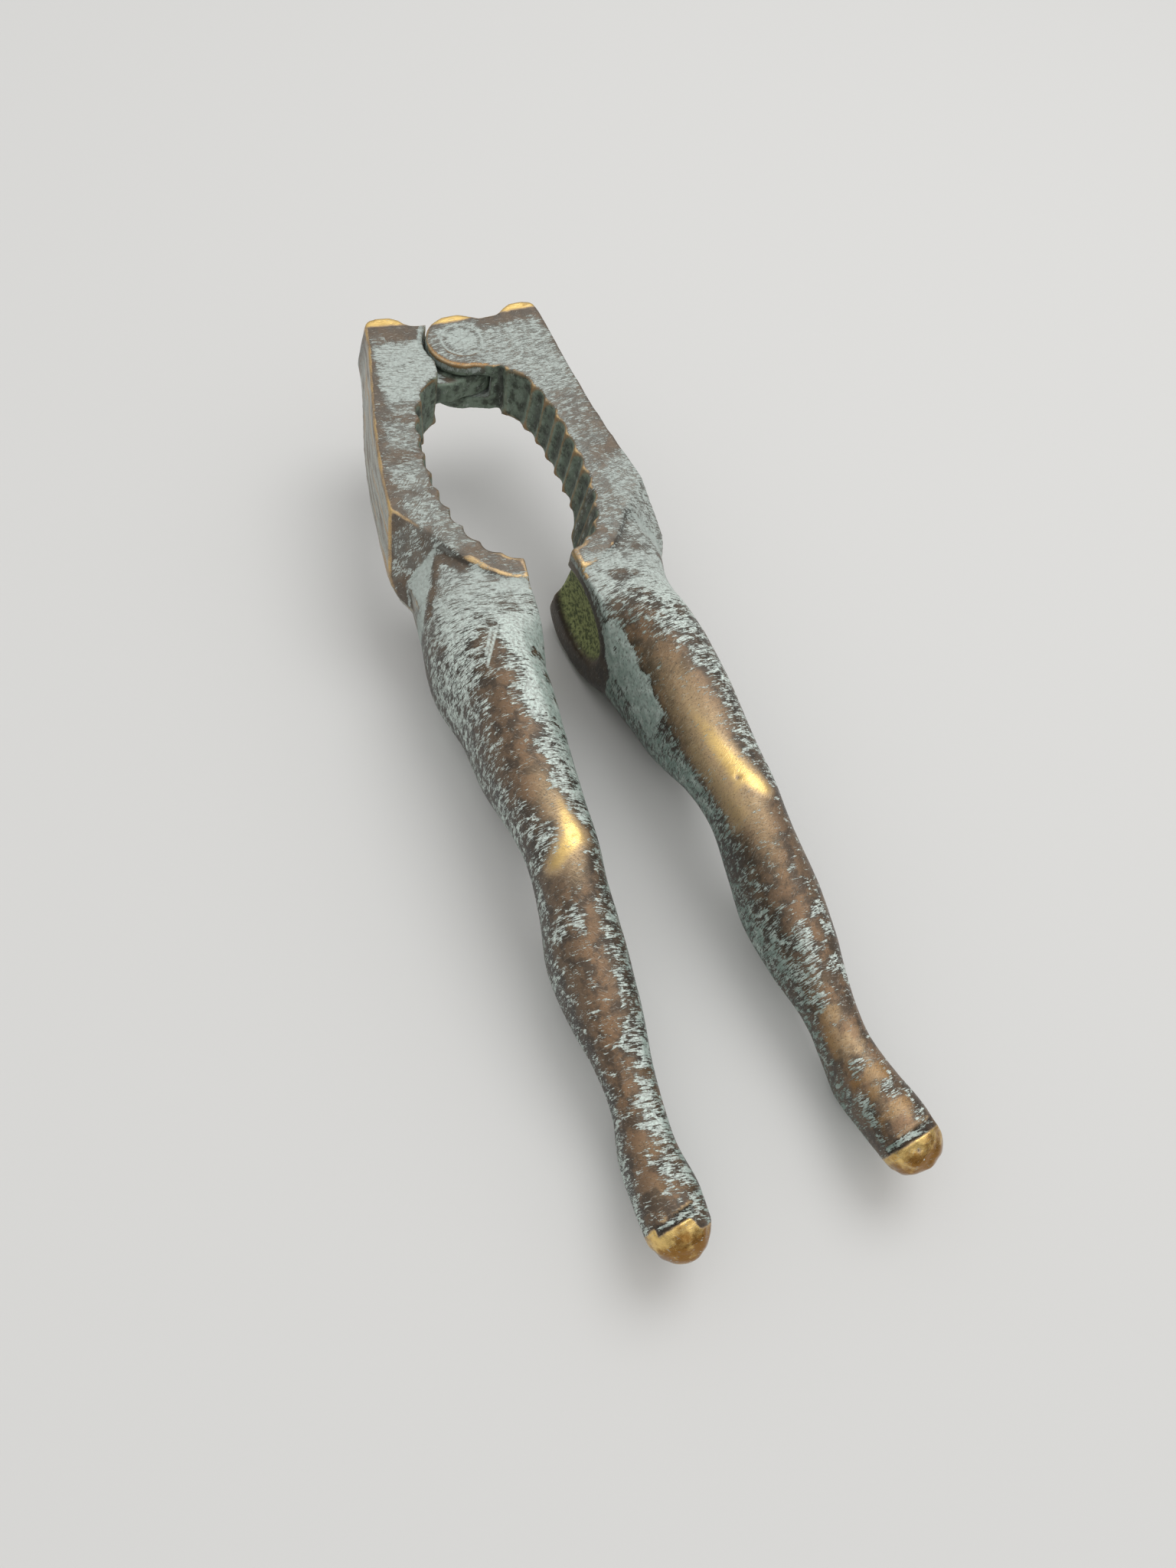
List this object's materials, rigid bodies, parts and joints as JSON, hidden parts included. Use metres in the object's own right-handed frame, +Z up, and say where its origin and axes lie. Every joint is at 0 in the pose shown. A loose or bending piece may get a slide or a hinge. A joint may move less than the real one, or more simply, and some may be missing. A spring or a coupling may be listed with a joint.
{
  "type": "nutcracker",
  "caption": "Cast bronze hand nutcracker shaped as human legs, hinged at the hip end above a ridged nut opening, with worn brass knees and toes and a verdigris patina.",
  "frame": {"origin": "On the table under the middle of the whole part, which lies on its back on the seat and heels", "axes": "Z up off the table, Y along the legs towards the hinge end, X to the right leg; the feet point to -Y"},
  "size_m": [0.0472, 0.1568, 0.0304],
  "materials": {
    "patinated_bronze": "brown bronze patina with pale verdigris, polished by wear on knees, toes and edges",
    "worn_brass": "rivet head filed flush and dulled by verdigris"
  },
  "bodies": {
    "right_leg_body": {"right_leg": "patinated_bronze", "hinge_rivet": "worn_brass"},
    "left_leg_body": {"left_leg": "patinated_bronze"}
  },
  "joints": [
    {"name": "leg_hinge", "type": "hinge", "parent": "right_leg_body", "child": "left_leg_body", "pos_m": [0.00026, 0.07041, 0.02451], "axis": [0, 0.1181, -0.993], "range_deg": [-9.2, 80]}
  ]
}
